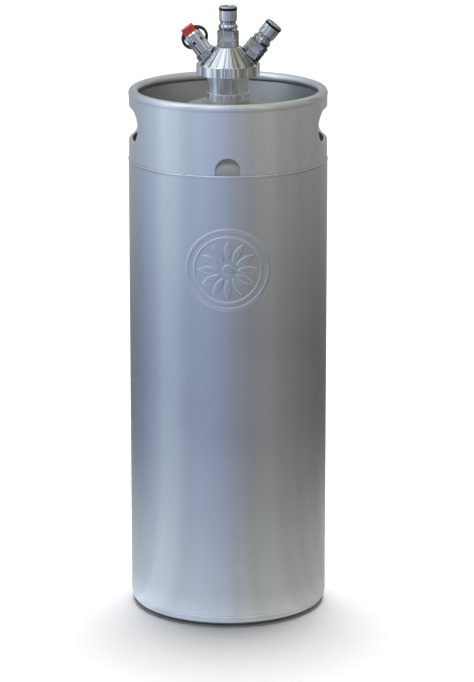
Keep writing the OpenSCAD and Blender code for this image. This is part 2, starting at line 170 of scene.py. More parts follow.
def grid_faces(rings, sides, closed_rings=False):
    """Quads between rings of `sides` points each, closed round every ring."""
    faces = []
    for i in range(rings if closed_rings else rings - 1):
        for k in range(sides):
            a, b = i * sides, (i + 1) % rings * sides
            n = (k + 1) % sides
            faces.append((a + k, a + n, b + n, b + k))
    return faces


def even_angles(count):
    """Angles evenly spaced round a full turn."""
    return [TAU * k / count for k in range(count)]


def lathe(profile, angles, displace=None):
    """Vertices and faces of a closed (radius, height) profile turned about Z."""
    verts = []
    for r, z in profile:
        for a in angles:
            p = Vector((r * math.cos(a), r * math.sin(a), z))
            verts.append(displace(p, r) if displace else p)
    return verts, grid_faces(len(profile), len(angles), closed_rings=True)


def arc(x, y, r, from_deg, to_deg, steps):
    """Points along an arc, both ends included."""
    turns = [math.radians(from_deg + (to_deg - from_deg) * i / steps) for i in range(steps + 1)]
    return [(x + r * math.cos(t), y + r * math.sin(t)) for t in turns]


def rounded(corners, steps=4):
    """A closed outline whose corners, given as (x, y, radius), are turned on short curves."""
    points = []
    count = len(corners)
    for i, (x, y, r) in enumerate(corners):
        if r == 0:
            points.append((x, y))
            continue
        here = Vector((x, y))
        back = Vector(corners[i - 1][:2]) - here
        ahead = Vector(corners[(i + 1) % count][:2]) - here
        cut = r / math.tan(back.angle(ahead) / 2)
        start = here + back.normalized() * cut
        end = here + ahead.normalized() * cut
        for k in range(steps + 1):
            t = k / steps
            points.append(tuple((1 - t) ** 2 * start + 2 * t * (1 - t) * here + t * t * end))
    return points


def sheet_outline(path, thickness):
    """A closed outline of that thickness on the left of an open path."""
    left = []
    for i, p in enumerate(path):
        a = Vector(path[max(i - 1, 0)])
        b = Vector(path[min(i + 1, len(path) - 1)])
        along = (b - a).normalized()
        left.append(tuple(Vector(p) + Vector((-along.y, along.x)) * thickness))
    return list(path) + left[::-1]


def ease(t):
    """A smooth step from 0 at t = 0 to 1 at t = 1."""
    t = min(max(t, 0.0), 1.0)
    return t * t * (3 - 2 * t)


def axis_place(foot, axis):
    """A frame whose Z runs along the axis and whose Y stays the keg's Y."""
    z = Vector(axis).normalized()
    y = Vector((0, 1, 0))
    x = y.cross(z).normalized()
    turn = Matrix((x, y, z)).transposed().to_4x4()
    return Matrix.Translation(Vector(foot)) @ turn


# ---------------------------------------------------------------- materials

# How a material's grain is stretched: into rings round Z, into lines along Z, or not at all
AROUND = (1, 1, 40)
ALONG = (30, 30, 1)
EVEN = (1, 1, 1)


class Nodes:
    """A short way to write a node tree."""

    def __init__(self, tree):
        self.tree = tree

    def add(self, kind, inputs=None, **settings):
        """A node with those settings and inputs; an input may be a value or a socket."""
        node = self.tree.nodes.new("ShaderNode" + kind)
        for key, value in settings.items():
            setattr(node, key, value)
        for key, value in (inputs or {}).items():
            self.set(node.inputs[key], value)
        return node

    def set(self, socket, value):
        """Links a socket, or sets a plain value."""
        if isinstance(value, bpy.types.NodeSocket):
            self.tree.links.new(value, socket)
        else:
            socket.default_value = value

    def math(self, operation, a, b=0.0):
        """The result of one math step."""
        return self.add("Math", {0: a, 1: b}, operation=operation).outputs[0]

    def mix(self, factor, a, b):
        """A colour between a and b."""
        node = self.add("Mix", data_type="RGBA")
        self.set(node.inputs[0], factor)
        self.set(node.inputs[6], a)
        self.set(node.inputs[7], b)
        return node.outputs[2]

    def range(self, value, low, high, to_low, to_high):
        """A value carried from one range to another."""
        keys = ("From Min", "From Max", "To Min", "To Max")
        wanted = dict(zip(keys, (low, high, to_low, to_high)))
        return self.add("MapRange", {"Value": value, **wanted}).outputs[0]

    def noise_over(self, place, scale, detail, roughness):
        """Noise over any vector."""
        wanted = {"Vector": place, "Scale": scale, "Detail": detail, "Roughness": roughness}
        return self.add("TexNoise", wanted).outputs["Fac"]

    def noise(self, scale, stretch, detail, roughness):
        """Noise over the object's own coordinates, in metres."""
        place = self.add("TexCoord").outputs["Object"]
        place = self.add("Mapping", {"Vector": place, "Scale": stretch}).outputs[0]
        return self.noise_over(place, scale, detail, roughness)

    def bump(self, shader, height, distance, strength):
        """Gives the shader that relief."""
        relief = self.add("Bump", {"Height": height, "Distance": distance, "Strength": strength})
        self.set(shader.inputs["Normal"], relief.outputs[0])

    def ramp(self, value, stops):
        """A smooth colour ramp through (position, colour) stops."""
        node = self.add("ValToRGB", {0: value})
        bar = node.color_ramp
        bar.interpolation = "B_SPLINE"
        while len(bar.elements) < len(stops):
            bar.elements.new(0.5)
        for element, (position, colour) in zip(bar.elements, stops):
            element.position = position
            element.color = (*colour, 1.0)
        return node.outputs[0]


def grey(level, tint=(1.0, 1.0, 1.0)):
    """A colour of that level with a slight tint."""
    return (level * tint[0], level * tint[1], level * tint[2], 1.0)


def new_material(name):
    """An empty material with its shader and a helper for its tree."""
    material = bpy.data.materials.new(name)
    material.use_nodes = True
    tree = material.node_tree
    tree.nodes.clear()
    nodes = Nodes(tree)
    shader = nodes.add("BsdfPrincipled")
    output = nodes.add("OutputMaterial", {"Surface": shader.outputs[0]})
    output.target = "ALL"
    return material, nodes, shader


def steel(name, level, rough, grain, grain_scale, bump, smudge=0.05, tint=(1, 1, 1), wear_and_glint=0.0,
          spin=0.0, painted_streaks=0.0, mottle=0.0):
    """Stainless steel with fine grain and soft smudges.

    wear_and_glint lightens the edges, partly rubbed wear and partly painted highlight, spin stretches the
    highlights along the axis of a turned part, painted_streaks paints light and dark reflection streaks
    down its sides, and mottle darkens small patches.
    """
    material, nodes, shader = new_material(name)
    lines = nodes.noise(grain_scale, grain, 4.0, 0.7)
    cloud = nodes.noise(14.0, EVEN, 3.0, 0.6)
    spots = nodes.noise(160.0, EVEN, 2.0, 0.5)
    shade = nodes.mix(cloud, grey(level * (1 - smudge), tint), grey(level * (1 + smudge), tint))
    shade = nodes.mix(nodes.range(lines, 0.3, 0.7, 0.0, 0.12), shade, grey(level * 0.7, tint))
    # Painted reflection: light and dark streaks down turned sides, set by which way the surface faces
    if painted_streaks:
        facing = nodes.add("NewGeometry").outputs["Normal"]
        streak_mask = nodes.range(nodes.noise_over(facing, 7.0, 6.0, 0.72), 0.42, 0.56, 0.0, 1.0)
        shade = nodes.mix(streak_mask, shade, grey(level * (1 - painted_streaks), tint))
    if mottle:
        patches = nodes.range(nodes.noise(900.0, EVEN, 3.0, 0.6), 0.42, 0.62, 0.0, mottle)
        shade = nodes.mix(patches, shade, grey(level * 0.2, tint))
    # Painted highlight on sharp edges, partly rubbed wear: lighter where the surface is pointy
    if wear_and_glint:
        edge = nodes.add("NewGeometry").outputs["Pointiness"]
        lighter_edge = nodes.range(edge, 0.52, 0.60, 0.0, wear_and_glint)
        shade = nodes.mix(lighter_edge, shade, grey(min(level * 1.6, 1.0), tint))
    nodes.set(shader.inputs["Base Color"], shade)
    shader.inputs["Metallic"].default_value = 1.0
    blur = nodes.range(lines, 0.25, 0.75, rough * 0.88, rough * 1.12)
    blur = nodes.math("ADD", blur, nodes.range(cloud, 0.3, 0.7, -0.03, 0.03))
    blur = nodes.math("ADD", blur, nodes.range(spots, 0.4, 0.8, 0.0, 0.02))
    nodes.set(shader.inputs["Roughness"], blur)
    if spin:
        shader.inputs["Anisotropic"].default_value = spin
        shader.inputs["Anisotropic Rotation"].default_value = 0.25
        turned = nodes.add("Tangent", direction_type="RADIAL", axis="Z").outputs[0]
        nodes.set(shader.inputs["Tangent"], turned)
    nodes.bump(shader, lines, bump, 0.5)
    return material


def rubber(name):
    """Black nitrile rubber with a faint bloom and a dull skin."""
    material, nodes, shader = new_material(name)
    bloom = nodes.noise(420.0, EVEN, 4.0, 0.6)
    shade = nodes.mix(bloom, grey(0.006), grey(0.016, (1, 1, 1.04)))
    nodes.set(shader.inputs["Base Color"], shade)
    nodes.set(shader.inputs["Roughness"], nodes.range(bloom, 0.3, 0.7, 0.52, 0.72))
    shader.inputs["Specular IOR Level"].default_value = 0.1
    nodes.bump(shader, bloom, 0.02 * MM, 0.4)
    return material


def plastic(name):
    """Glossy red moulded plastic, slightly uneven, with its sharp edges lighter."""
    material, nodes, shader = new_material(name)
    flow = nodes.noise(90.0, (1, 1, 2.5), 3.0, 0.5)
    shade = nodes.mix(flow, (0.50, 0.004, 0.006, 1), (0.66, 0.010, 0.010, 1))
    # Lighter towards pale red on sharp edges
    edge = nodes.add("NewGeometry").outputs["Pointiness"]
    lighter_edge = nodes.range(edge, 0.52, 0.62, 0.0, 0.35)
    nodes.set(shader.inputs["Base Color"], nodes.mix(lighter_edge, shade, (0.9, 0.18, 0.14, 1)))
    nodes.set(shader.inputs["Roughness"], nodes.range(flow, 0.3, 0.7, 0.16, 0.28))
    nodes.bump(shader, flow, 0.03 * MM, 0.3)
    return material


# Level, roughness, grain, grain scale and bump, then what sets each steel apart
STEELS = {
    "vessel_steel": ((0.60, 0.31, AROUND, 60, 0.008 * MM),
                     {"smudge": 0.03, "tint": (0.98, 1, 1.03), "wear_and_glint": 0.8, "spin": 0.7}),
    # Painted shade: the dome is the vessel's steel made darker and warm-tinted, as it lies in shade inside the
    # collar
    "dome_steel": ((0.44, 0.50, EVEN, 300, 0.02 * MM), {"tint": (1.02, 1, 0.93)}),
    "collar_steel": ((0.66, 0.31, AROUND, 60, 0.008 * MM),
                     {"smudge": 0.04, "tint": (0.99, 1, 1.02), "spin": 0.6}),
    "weld_steel": ((0.60, 0.34, EVEN, 500, 0.06 * MM),
                   {"smudge": 0.12, "tint": (1.0, 0.98, 0.94)}),
    "turned_steel": ((0.92, 0.34, AROUND, 220, 0.01 * MM),
                     {"tint": (0.99, 1, 1.02), "wear_and_glint": 0.3, "spin": 0.6, "painted_streaks": 0.4}),
    "head_steel": ((0.96, 0.17, AROUND, 260, 0.006 * MM),
                   {"smudge": 0.04, "wear_and_glint": 0.2, "spin": 0.8, "painted_streaks": 0.8}),
    "fitting_steel": ((0.90, 0.22, EVEN, 300, 0.01 * MM),
                      {"wear_and_glint": 0.3, "painted_streaks": 0.88, "mottle": 0.6}),
    "bright_steel": ((0.98, 0.12, EVEN, 300, 0.006 * MM),
                     {"smudge": 0.04, "tint": (1, 1, 1.02), "wear_and_glint": 0.2, "painted_streaks": 0.88}),
    "poppet_steel": ((0.62, 0.30, AROUND, 300, 0.01 * MM), {}),
    "tube_steel": ((0.62, 0.30, ALONG, 200, 0.01 * MM), {}),
    "spring_steel": ((0.55, 0.28, EVEN, 500, 0.01 * MM), {"smudge": 0.06}),
    "ring_steel": ((0.10, 0.30, EVEN, 500, 0.01 * MM),
                   {"smudge": 0.15, "tint": (0.95, 1.0, 0.95), "wear_and_glint": 0.5}),
}

MATERIALS = {name: steel(name, *base, **look) for name, (base, look) in STEELS.items()}
MATERIALS["seal_rubber"] = rubber("seal_rubber")
MATERIALS["red_plastic"] = plastic("red_plastic")


# ---------------------------------------------------------------- vessel


def medal_height(x, z):
    """How far the generic rosette stands proud at a point of the shell's front."""
    radius = math.hypot(x, z)
    if radius > MEDAL_R + MM:
        return 0.0
    outlines = [abs(radius - middle) - half for middle, half in MEDAL_RINGS]
    turn = math.atan2(x, z)
    step = TAU / PETALS
    turn -= round(turn / step) * step
    across = radius * math.sin(turn)
    along = radius * math.cos(turn) - PETAL_MIDDLE
    outlines.append(math.hypot(abs(across) + PETAL_SIDE_OFF, along) - PETAL_SIDE_R)
    return MEDAL_H * ease(0.5 - min(outlines) / MEDAL_EDGE)


def body_wall():
    """The cylindrical shell with its shoulder bead and the embossed rosette."""
    low_rows, fine_rows, fine_columns, back_columns = 12, 160, 160, 156
    fine_row = 0.5 * MM
    fine_z = [MEDAL_Z - MEDAL_R - MM + i * fine_row for i in range(fine_rows)]
    low_z = BODY_LOW.z + SHELL_EDGE
    wall = [low_z + (fine_z[0] - low_z) * i / low_rows for i in range(low_rows)] + fine_z
    bead_z = SHOULDER_Z - BEAD_R
    bead_x = BODY_R + BEAD_PROUD - BEAD_R
    meet = math.degrees(math.asin(math.sqrt(BEAD_R**2 - (BODY_R - bead_x) ** 2) / BEAD_R))
    inner_r = BODY_R - SHEET
    profile = [(BODY_R - SHELL_EDGE, BODY_LOW.z)]
    profile += [(BODY_R, z) for z in wall]
    profile += [(BODY_R, bead_z - down * MM) for down in (30, 20, 10, 4, 2, 1.4)]
    profile += arc(bead_x, bead_z, BEAD_R, -meet + 6, 90, 12)
    profile += [(SKIRT_R, SHOULDER_Z - 0.2 * MM), (SKIRT_R, bead_z - 1.2 * MM)]
    profile += [(inner_r, bead_z - 1.8 * MM), (inner_r, BODY_LOW.z + 0.2 * MM)]
    profile += [(inner_r, BODY_LOW.z)]
    half = math.asin((MEDAL_R + MM) / BODY_R)
    start = -math.pi / 2 - half
    fine = [start + 2 * half * i / fine_columns for i in range(fine_columns + 1)]
    coarse = [fine[-1] + (TAU - 2 * half) * i / back_columns for i in range(1, back_columns)]

    def emboss(p, r):
        """Lifts the outer skin where the rosette is."""
        if r < BODY_R - 0.1 * MM or p.y > 0:
            return p
        lift = medal_height(p.x, p.z - MEDAL_Z)
        return Vector((p.x * (r + lift) / r, p.y * (r + lift) / r, p.z))

    shape = lathe(profile, fine + coarse, emboss)
    piece("vessel_wall", shape, "keg", "vessel_steel", "body_shell")


def vessel_ends():
    """The pressed bottom with its foot and inward dish, and the domed top."""
    foot_r = BODY_R - CORNER_R - FOOT_W
    fold_deg = math.degrees(math.asin(foot_r / (BASE_DISH_R + FOLD_R)))
    dish_z = FOLD_R - (BASE_DISH_R + FOLD_R) * math.cos(math.radians(fold_deg))
    under = arc(0, dish_z, BASE_DISH_R, 90, 90 - fold_deg, 14)
    under += arc(foot_r, FOLD_R, FOLD_R, -90 - fold_deg, -90, 6)
    under += arc(BODY_R - CORNER_R, CORNER_R, CORNER_R, -90, 0, 14)
    shape = lathe(sheet_outline(under, SHEET), even_angles(288))
    piece("bottom_pan", shape, "keg", "vessel_steel", "bottom_end")

    crown_deg = math.degrees(math.atan2(KNUCKLE_Z - CROWN_Z, KNUCKLE_X))
    start_deg = math.degrees(math.acos(NECK_R / CROWN_R))
    over = arc(0, CROWN_Z, CROWN_R, start_deg, crown_deg, 24)
    over += arc(KNUCKLE_X, KNUCKLE_Z, KNUCKLE_R, crown_deg, 0, 12)[1:]
    over.append((SKIRT_R, KNUCKLE_Z - DOME_SKIRT))
    shape = lathe(sheet_outline(over[::-1], SHEET), even_angles(256))
    piece("domed_top", shape, "keg", "dome_steel", "top_dome")


# ---------------------------------------------------------------- collar

# The collar's grid: columns round it, rows up to the hand holes' lowest row, and rows above it
COLUMNS = 288
STEP = TAU / COLUMNS
LOW_ROWS = 6
LOW_BAND = 11 * MM
HIGH_ROWS = 22
HIGH_ROW = 2 * MM
NOTCH_ROWS = 11
HAND_COLUMNS = 24
NOTCH_COLUMNS = 9


def slot_point(x, z, grow):
    """Where the ray from the centre through (x, z) meets the hand hole, a slot with round ends."""
    r = HAND_H / 2 + grow
    half = (HAND_W - HAND_H) / 2
    length = math.hypot(x, z)
    dx, dz = x / length, z / length
    if dz != 0:
        t = r / abs(dz)
        if abs(dx) * t <= half:
            return dx * t, dz * t
    b = abs(dx) * half
    t = b + math.sqrt(max(b * b - half * half + r * r, 0))
    return dx * t, dz * t


def arch_point(x, z, grow):
    """Where the ray from the arch's centre through (x, z) meets the notch, open at its floor."""
    r = NOTCH_W / 2 + grow
    if z >= 0:
        length = math.hypot(x, z)
        return x / length * r, z / length * r
    return math.copysign(r, x), max(z, NOTCH_W / 2 - NOTCH_H)


def hole_patch(verts, angle, centre_z, outline, rows, columns, lip, closed):
    """A hole with a shaped edge, in place of a rectangle of the collar's two skins.

    angle and centre_z place the hole. rows holds the lowest and highest outer rows and the number
    of rows in all, columns is the half width in columns, and lip the (grow, radius) points that
    lead from the outer skin round the edge to the inner skin. A hole that isn't closed is open at
    its floor. Returns the grid faces that the hole takes away, as (row, column), and the faces
    that it adds.
    """
    low, high, count = rows
    middle = round(angle / STEP)
    turn = Matrix.Rotation(angle, 3, "Z")
    unturn = Matrix.Rotation(-angle, 3, "Z")
    wide = range(-columns, columns)

    def border(first, last):
        """Vertices round the rectangle, starting at its lower left."""
        up = 1 if last > first else -1
        spots = [(row, -columns) for row in range(first, last + up, up)]
        spots += [(last, col) for col in range(1 - columns, columns)]
        spots += [(row, columns) for row in range(last, first - up, -up)]
        if closed:
            spots += [(first, col) for col in range(columns - 1, -columns, -1)]
        return [row * COLUMNS + (middle + col) % COLUMNS for row, col in spots]

    def add(p):
        """A new vertex, given in the hole's own frame."""
        verts.append(turn @ p)
        return len(verts) - 1

    def edge_point(grow, radius, ray):
        """A point of the hole's edge in the hole's own frame."""
        y, z = outline(*ray, grow)
        return Vector((math.sqrt(radius * radius - y * y), y, z + centre_z))

    outer, inner = border(low, high), border(count - 1 - low, count - 1 - high)
    rays = [((unturn @ verts[i]).y, verts[i].z - centre_z) for i in outer]

    def blends(ring, grow, radius, shares):
        """Rings that lead from the rectangle to the edge's outline."""
        made = []
        for share in shares:
            row = []
            for index, ray in zip(ring, rays):
                a, b = unturn @ verts[index], edge_point(grow, radius, ray)
                turn_a, turn_b = math.atan2(a.y, a.x), math.atan2(b.y, b.x)
                t = turn_a + (turn_b - turn_a) * share
                z = a.z + (b.z - a.z) * share
                row.append(add(Vector((radius * math.cos(t), radius * math.sin(t), z))))
            made.append(row)
        return made

    shares = [0.3, 0.55, 0.75, 0.9]
    rings = [outer] + blends(outer, *lip[0], shares)
    rings += [[add(edge_point(grow, radius, ray)) for ray in rays] for grow, radius in lip]
    rings += blends(inner, *lip[-1], shares[::-1]) + [inner]

    gone = set()
    for first in (low, count - 1 - high):
        for row in range(first, first + high - low):
            gone |= {(row, (middle + col) % COLUMNS) for col in wide}
    if not closed:
        gone |= {(count - 1, (middle + col) % COLUMNS) for col in wide}
    added = []
    for a, b in zip(rings, rings[1:]):
        for k in range(len(outer) if closed else len(outer) - 1):
            n = (k + 1) % len(outer)
            added.append((a[k], a[n], b[n], b[k]))
    if not closed:
        added.append(tuple(ring[0] for ring in rings))
        added.append(tuple(ring[-1] for ring in reversed(rings)))
    return gone, added


def collar_profile():
    """The collar's closed section, a wall with a rolled rim, and its highest plain row."""
    rim_x, rim_z = BODY_R - RIM_R, RIM_TOP_Z - RIM_R
    inner_r = COLLAR_R - SHEET
    curl = RIM_R - SHEET
    wall = [SHOULDER_Z + i * LOW_BAND / LOW_ROWS for i in range(LOW_ROWS + 1)]
    wall += [SHOULDER_Z + LOW_BAND + i * HIGH_ROW for i in range(1, HIGH_ROWS + 1)]
    meet = -math.degrees(math.acos((COLLAR_R - rim_x) / RIM_R))
    inner_meet = -math.degrees(math.acos((inner_r - rim_x) / curl))
    profile = [(COLLAR_R, z) for z in wall]
    profile += [(COLLAR_R, rim_z - 3.4 * MM), (COLLAR_R, rim_z - 2.4 * MM)]
    profile += arc(rim_x, rim_z, RIM_R, meet + 6, 268, 30)
    profile += arc(rim_x, rim_z, curl, 268, inner_meet, 26)
    profile += [(inner_r, z) for z in wall[::-1]]
    return profile, len(wall) - 1


def hand_lip():
    """The hand hole's edge: bent inward, with its cut end eased, then back to the inner skin."""
    bend, inner_r = 1.8 * MM, COLLAR_R - SHEET
    end = COLLAR_R - 3.6 * MM
    lip = [(bend + 1.2 * MM, COLLAR_R)]
    for a in (0.0, 0.4, 0.8, 1.2, math.pi / 2):
        lip.append((bend * (1 - math.sin(a)), COLLAR_R - bend * (1 - math.cos(a))))
    lip += [(0.0, end + 0.5 * MM), (0.15 * MM, end + 0.15 * MM), (0.5 * MM, end)]
    lip += [(0.8 * MM, end), (1.1 * MM, end + 0.15 * MM), (1.2 * MM, end + 0.5 * MM)]
    return lip + [(1.2 * MM, inner_r - 0.9 * MM), (1.5 * MM, inner_r - 0.3 * MM), (2.2 * MM, inner_r)]


def notch_cut():
    """The drain notch's edge: cut straight through, with both corners eased."""
    outside = [(1.2, 0.0), (0.3, 0.0), (0.1, 0.1), (0.0, 0.3)]
    inner_r = COLLAR_R - SHEET
    cut = [(grow * MM, COLLAR_R - depth * MM) for grow, depth in outside]
    return cut + [(grow * MM, inner_r + depth * MM) for grow, depth in outside[::-1]]


def collar():
    """The collar: a wall, a rolled rim, two lipped hand holes and the drain notch."""
    profile, top = collar_profile()
    count = len(profile)
    verts, faces = lathe(profile, even_angles(COLUMNS))
    patches = [hole_patch(verts, angle, HAND_Z, slot_point, (LOW_ROWS, top, count), HAND_COLUMNS,
                          hand_lip(), True) for angle in (0.0, math.pi)]
    notch_z = SHOULDER_Z + NOTCH_H - NOTCH_W / 2
    patches.append(hole_patch(verts, -math.pi / 2, notch_z, arch_point, (0, NOTCH_ROWS, count),
                              NOTCH_COLUMNS, notch_cut(), False))
    gone = set().union(*(patch[0] for patch in patches))
    kept = [face for i, face in enumerate(faces) if divmod(i, COLUMNS) not in gone]
    for patch in patches:
        kept += patch[1]
    piece("rolled_collar", (verts, kept), "keg", "collar_steel", "top_collar")


def tack_welds():
    """Small rippled weld beads between the collar and the shoulder, clear of the notch."""
    count, rings, sides = 7, 6, 24
    half_w, half_h, proud, flat_under = 2.2 * MM, 1.9 * MM, 0.52 * MM, -0.2 * MM
    sunk = 0.02 * MM
    verts, faces = [], []
    for i in range(count):
        turn = Matrix.Rotation(-math.pi / 2 + (i + 0.5) * TAU / count, 3, "Z")
        base = len(verts)
        for ring in range(rings + 1):
            share = ring / rings
            for a in even_angles(sides):
                y, z = half_w * share * math.cos(a), half_h * share * math.sin(a)
                ripple = 1 + 0.16 * math.cos(y / MM * 4.5)
                lift = proud * math.sqrt(1 - share * share) * ripple
                x = COLLAR_R - sunk + lift
                verts.append(turn @ Vector((x, y, SHOULDER_Z + max(z, flat_under))))
        faces += [tuple(base + n for n in face) for face in grid_faces(rings + 1, sides)]
        faces.append(tuple(base + rings * sides + k for k in range(sides)))
    piece("tack_welds", (verts, faces), "keg", "weld_steel", "collar_tacks")


# ---------------------------------------------------------------- neck


def sweep_spiral(section, turns, rise, steps, taper=0.0):
    """A closed strip: a (radius, height, lift) section carried round and up a spiral.

    steps are taken in each turn, and rise gives the height at a share of the way. Over `taper` of
    a turn at each end, a point sinks by up to its lift.
    """
    rings = round(turns * steps)
    verts = []
    for i in range(rings + 1):
        a = TAU * i / steps
        fade = 1.0
        if taper:
            fade = min(1.0, i / (taper * steps), (rings - i) / (taper * steps))
        for r, z, lift in section:
            reach = r - lift * (1 - fade)
            verts.append(Vector((reach * math.cos(a), reach * math.sin(a), z + rise(i / rings))))
    sides = len(section)
    faces = grid_faces(rings + 1, sides)
    faces.append(tuple(range(sides)))
    faces.append(tuple(rings * sides + k for k in range(sides)))
    return verts, faces


def neck():
    """The neck tube with its run-out, its thread, and the weld ring round its foot."""
    runout_z = HEAD_LOW.z - RUNOUT_DROP
    outline = rounded([
        (NECK_BORE_R, NECK_LOW.z, 0), (NECK_R, NECK_LOW.z, 0),
        (NECK_R, runout_z, 0.3 * MM), (RUNOUT_R, runout_z + RUNOUT_SLOPE, 0.3 * MM),
        (RUNOUT_R, HEAD_LOW.z, 0.3 * MM), (THREAD_ROOT_R, HEAD_LOW.z, 0.5 * MM),
        (THREAD_ROOT_R, NECK_HIGH.z, 0.6 * MM), (NECK_BORE_R, NECK_HIGH.z, 0.3 * MM),
    ])
    piece("neck_tube", lathe(outline, even_angles(192)), "keg", "turned_steel", "neck")

    # The thread's lower flank, as (out from the root, down from the middle, lift), and its mirror
    flank = [(-0.4, 1.2, 0), (0.0, 1.05, 0.1), (1.0, 0.5, 1.1), (1.2, 0.25, 1.3)]
    section = [(THREAD_ROOT_R + out * MM, -down * MM, lift * MM) for out, down, lift in flank]
    section += [(r, -z, lift) for r, z, lift in section[::-1]]
    climb = THREAD_TURNS * THREAD_PITCH
    shape = sweep_spiral(section, THREAD_TURNS, lambda t: t * climb, steps=96, taper=0.12)
    place = Matrix.Translation((0, 0, HEAD_LOW.z + THREAD_UP))
    piece("neck_thread", shape, "keg", "turned_steel", "neck", place)

    ring_low, ring_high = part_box("neck_weld_ring")
    under_r, under_z = NECK_R - 0.1 * MM, ring_low.z - 0.3 * MM
    outline = rounded([
        (under_r, under_z, 0), (ring_high.x, under_z, 0),
        (ring_high.x, ring_high.z, 0.35 * MM), (under_r, ring_high.z, 0),
    ])
    shape = lathe(outline, even_angles(192))
    piece("neck_collar_ring", shape, "keg", "turned_steel", "neck_weld_ring")


# ---------------------------------------------------------------- tapping head parts

PRV_AXIS = Vector(JOINTS["prv_pull"]["axis"])
RING_PIVOT = Vector(JOINTS["ring_swing"]["pos_m"])
GAS_AXIS = Vector(MOUNTS["gas_post"]["axis"])
GAS_FOOT = Vector(MOUNTS["gas_post"]["pos_m"]) - GAS_AXIS * GAS_MOUNT_UP
PRV_FOOT = RING_PIVOT - PRV_AXIS * RING_PIVOT_UP
LIQUID_PLACE = Matrix.Translation((0, 0, HEAD_HIGH.z))
GAS_PLACE = axis_place(GAS_FOOT, GAS_AXIS)
PRV_PLACE = axis_place(PRV_FOOT, PRV_AXIS)

# Springs: mean radius, wire radius, foot and top along the fitting's axis, and turns
POPPET_SPRING = (4.2 * MM, 0.45 * MM, 15.8 * MM, 27 * MM, 7)
RELIEF_SPRING = (4.3 * MM, 0.55 * MM, 13.3 * MM, 22.6 * MM, 6)

# Pull ring: mean radius, half the wire's width and height, half the step between its two turns,
# how far it leans back from hanging down the valve's axis, and where its ends lie
RING_R = 11.4 * MM
RING_HALF_W = 1.35 * MM
RING_HALF_H = 0.66 * MM
RING_LAP = 0.72 * MM
RING_TURNS = 1.94
RING_LEAN_DEG = 27
RING_ENDS_DEG = 40


def coil(name, node, place, size):
    """A compression spring with closed ends."""
    mean_r, wire_r, low, high, turns = size
    section = [(mean_r + wire_r * math.cos(a), wire_r * math.sin(a), 0) for a in even_angles(12)]
    height = high - low - 2 * wire_r
    closed = 2 * wire_r / height
    lap = 1 / turns

    def rise(t):
        """Height along the coil: flat end turns and an even middle."""
        if t < lap:
            return low + wire_r + height * closed * t / lap
        if t > 1 - lap:
            return low + wire_r + height * (1 - closed * (1 - t) / lap)
        return low + wire_r + height * (closed + (1 - 2 * closed) * (t - lap) / (1 - 2 * lap))

    shape = sweep_spiral(section, turns, rise, steps=40)
    thing = piece(name, shape, "head", "spring_steel", node, place)
    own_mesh(thing)


def springs():
    """The two poppet springs and the relief valve's spring."""
    for kind, place in (("liquid", LIQUID_PLACE), ("gas", GAS_PLACE)):
        coil(f"{kind}_spring_coil", f"{kind}_poppet_spring", place, POPPET_SPRING)
    coil("relief_spring_coil", "prv_spring", PRV_PLACE, RELIEF_SPRING)


def split_ring():
    """The pull ring: two turns of flattened wire that lie on each other."""
    edge = 0.4 * MM
    step_from, step_share = 0.46, 0.08
    outline = rounded([(RING_HALF_W, -RING_HALF_H, edge), (RING_HALF_W, RING_HALF_H, edge),
                       (-RING_HALF_W, RING_HALF_H, edge), (-RING_HALF_W, -RING_HALF_H, edge)], 3)
    section = [(RING_R + x, y, 0) for x, y in outline]

    def rise(t):
        """The lower turn, a short step over, and the upper turn."""
        return (2 * ease((t - step_from) / step_share) - 1) * RING_LAP

    hang = Matrix.Rotation(math.radians(RING_LEAN_DEG - 90), 4, "X")
    ends = Matrix.Rotation(math.radians(RING_ENDS_DEG), 4, "Z")
    place = PRV_PLACE @ Matrix.Translation((0, 0, RING_PIVOT_UP)) @ hang
    place = place @ Matrix.Translation((0, RING_R, 0)) @ ends
    shape = sweep_spiral(section, RING_TURNS, rise, steps=120)
    piece("split_ring", shape, "pull_ring", "ring_steel", "pull_ring", place)


# ---------------------------------------------------------------- carried-over CAD pieces

EASE_W = 0.12 * MM
EASE_FROM_DEG = 50


def finish_cad_nodes():
    """Materials for the CAD nodes that stay, with their sharp edges eased."""
    slots = {entry["node"]: entry["material_slot"] for entry in frame["record"]["subparts"]}
    for name, node in frame["nodes"].items():
        if node.hide_render:
            continue
        node.data.materials.clear()
        node.data.materials.append(MATERIALS[slots[name]])
        bevel = node.modifiers.new("ease", "BEVEL")
        bevel.width = EASE_W
        bevel.segments = 2
        bevel.limit_method = "ANGLE"
        bevel.angle_limit = math.radians(EASE_FROM_DEG)
        bevel.harden_normals = True


# ---------------------------------------------------------------- studio

FLOOR_HALF = 30.0
TENT_R = 0.55
TENT_H = 1.5
TENT_FLOOR_Z = 0.004
TENT_HOLE_R = 0.01

# The tent's colour round the keg, by degrees from the front (the left is negative)
TENT_SIDES = (
    (-180, (0.36, 0.38, 0.40)), (-140, (0.34, 0.37, 0.42)), (-112, (0.32, 0.38, 0.52)),
    (-84, (0.55, 0.66, 0.90)), (-68, (0.71, 0.84, 1.0)), (-48, (0.49, 0.58, 0.79)),
    (-20, (0.42, 0.51, 0.74)), (0, (0.38, 0.45, 0.62)), (18, (0.31, 0.32, 0.34)),
    (50, (0.36, 0.355, 0.33)), (84, (0.23, 0.225, 0.235)), (112, (0.28, 0.275, 0.275)),
    (140, (0.20, 0.195, 0.19)), (180, (0.36, 0.38, 0.40)),
)

# Its brightness, and how far its colour is evened out, by share of the way out and up
TENT_LIFTS = (
    (0.0, 1.9), (0.08, 1.8), (0.16, 1.35), (0.23, 0.80), (0.27, 0.62), (0.32, 0.66),
    (0.36, 1.1), (0.42, 1.4), (0.6, 1.45), (0.72, 2.5), (1.0, 2.5),
)
TENT_EVENS = ((0.0, 0.55), (0.14, 0.5), (0.22, 0.0), (0.36, 0.0), (0.42, 0.35), (1.0, 0.35))
TENT_EVEN_COLOUR = (0.36, 0.37, 0.375, 1)


